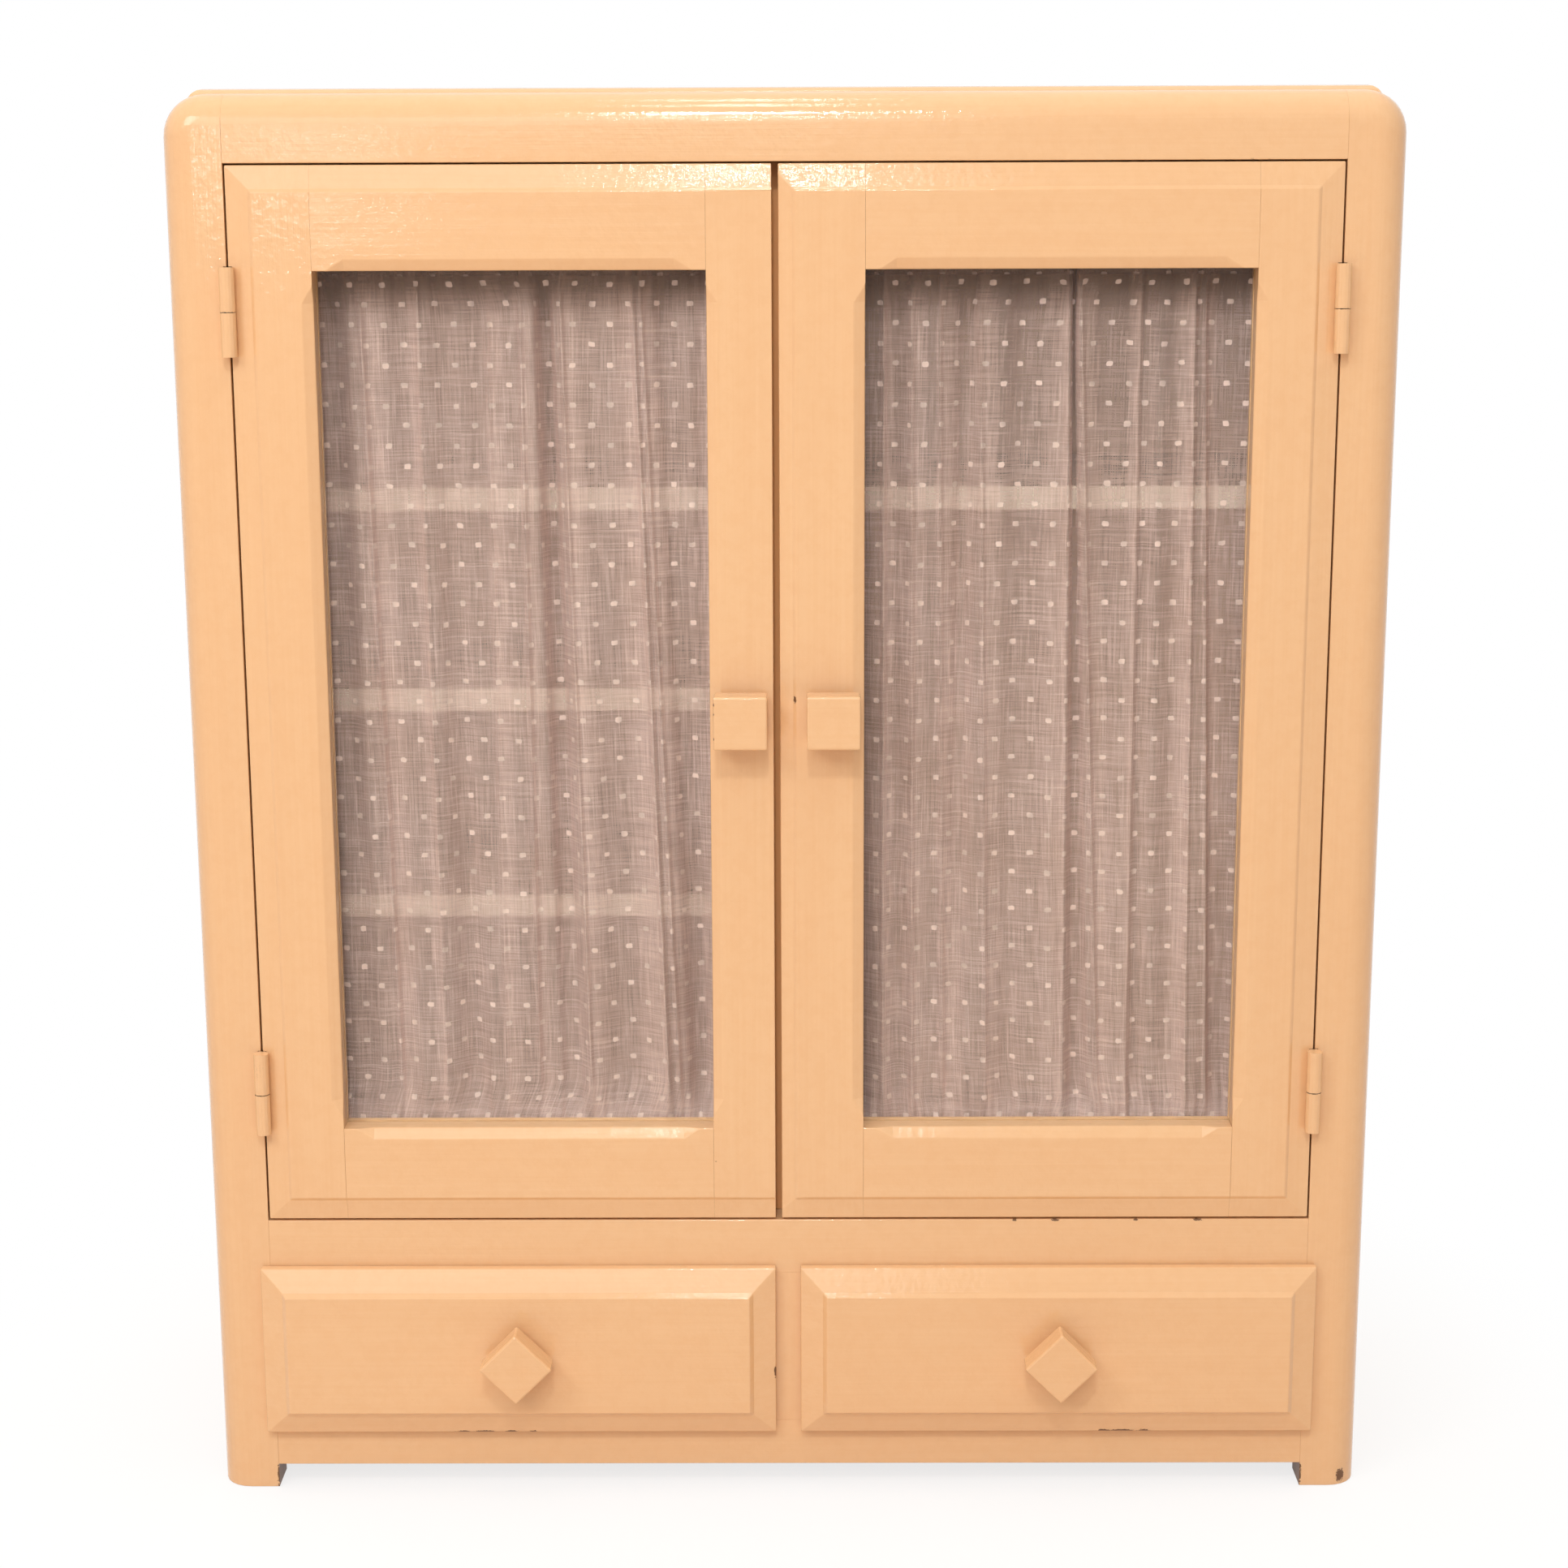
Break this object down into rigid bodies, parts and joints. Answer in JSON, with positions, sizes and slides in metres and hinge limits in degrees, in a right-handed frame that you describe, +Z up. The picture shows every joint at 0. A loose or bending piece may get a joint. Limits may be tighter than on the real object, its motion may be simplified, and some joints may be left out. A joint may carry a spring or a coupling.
{
  "type": "glazed two-door cabinet",
  "caption": "Painted wooden cabinet on short feet, with glazed and curtained doors over drawers, for keeping linen or dishes.",
  "frame": {"origin": "on the floor, at the middle of the outer box, knobs included", "axes": "+Z up, +X to the right as seen from the front, +Y towards the back; the front looks along -Y"},
  "size_m": [0.7, 0.296, 0.84],
  "materials": {
    "paint": "glossy peach oil paint over wood, brushed on",
    "inside": "pale eggshell paint over wood",
    "raw_wood": "bare planed wood",
    "plywood": "bare thin plywood",
    "hinge": "steel painted over with the wood",
    "glass": "clear window glass",
    "curtain": "sheer cotton with raised dots",
    "rod": "dull brass"
  },
  "bodies": {
    "root": {"left_front_post": "paint", "right_front_post": "paint", "top_rail": "paint", "middle_rail": "paint", "bottom_rail": "paint", "drawer_muntin": "paint", "left_side_panel": "paint", "right_side_panel": "paint", "top_board": "paint", "back_panel": "plywood", "cupboard_floor": "inside", "bottom_board": "raw_wood", "centre_partition": "inside", "left_upper_shelf": "inside", "left_middle_shelf": "inside", "left_lower_shelf": "inside", "right_shelf": "inside", "drawer_divider": "raw_wood", "left_drawer_guide": "raw_wood", "right_drawer_guide": "raw_wood", "left_upper_hinge_post_leaf": "hinge", "left_lower_hinge_post_leaf": "hinge", "right_upper_hinge_post_leaf": "hinge", "right_lower_hinge_post_leaf": "hinge"},
    "left_door": {"left_door_hinge_stile": "paint", "left_door_meeting_stile": "paint", "left_door_top_rail": "paint", "left_door_bottom_rail": "paint", "left_door_glass": "glass", "left_door_glazing_bead": "paint", "left_door_curtain": "curtain", "left_door_curtain_top_rod": "rod", "left_door_curtain_bottom_rod": "rod", "left_door_knob": "paint", "left_door_upper_hinge_leaf": "hinge", "left_door_lower_hinge_leaf": "hinge"},
    "right_door": {"right_door_hinge_stile": "paint", "right_door_meeting_stile": "paint", "right_door_top_rail": "paint", "right_door_bottom_rail": "paint", "right_door_glass": "glass", "right_door_glazing_bead": "paint", "right_door_curtain": "curtain", "right_door_curtain_top_rod": "rod", "right_door_curtain_bottom_rod": "rod", "right_door_knob": "paint", "right_door_upper_hinge_leaf": "hinge", "right_door_lower_hinge_leaf": "hinge"},
    "left_drawer": {"left_drawer_front": "paint", "left_drawer_inner_side": "raw_wood", "left_drawer_outer_side": "raw_wood", "left_drawer_back": "raw_wood", "left_drawer_bottom": "plywood", "left_drawer_knob": "paint"},
    "right_drawer": {"right_drawer_front": "paint", "right_drawer_inner_side": "raw_wood", "right_drawer_outer_side": "raw_wood", "right_drawer_back": "raw_wood", "right_drawer_bottom": "plywood", "right_drawer_knob": "paint"}
  },
  "joints": [
    {"name": "left_door_hinge", "type": "hinge", "parent": "root", "child": "left_door", "pos_m": [-0.31375, -0.1171, 0.4861], "axis": [0, 0, -1], "range_deg": [0, 170]},
    {"name": "right_door_hinge", "type": "hinge", "parent": "root", "child": "right_door", "pos_m": [0.31375, -0.1171, 0.4861], "axis": [0, 0, 1], "range_deg": [0, 170]},
    {"name": "left_drawer_slide", "type": "slide", "parent": "root", "child": "left_drawer", "axis": [0, -1, 0], "range_m": [0, 0.17]},
    {"name": "right_drawer_slide", "type": "slide", "parent": "root", "child": "right_drawer", "axis": [0, -1, 0], "range_m": [0, 0.17]}
  ]
}
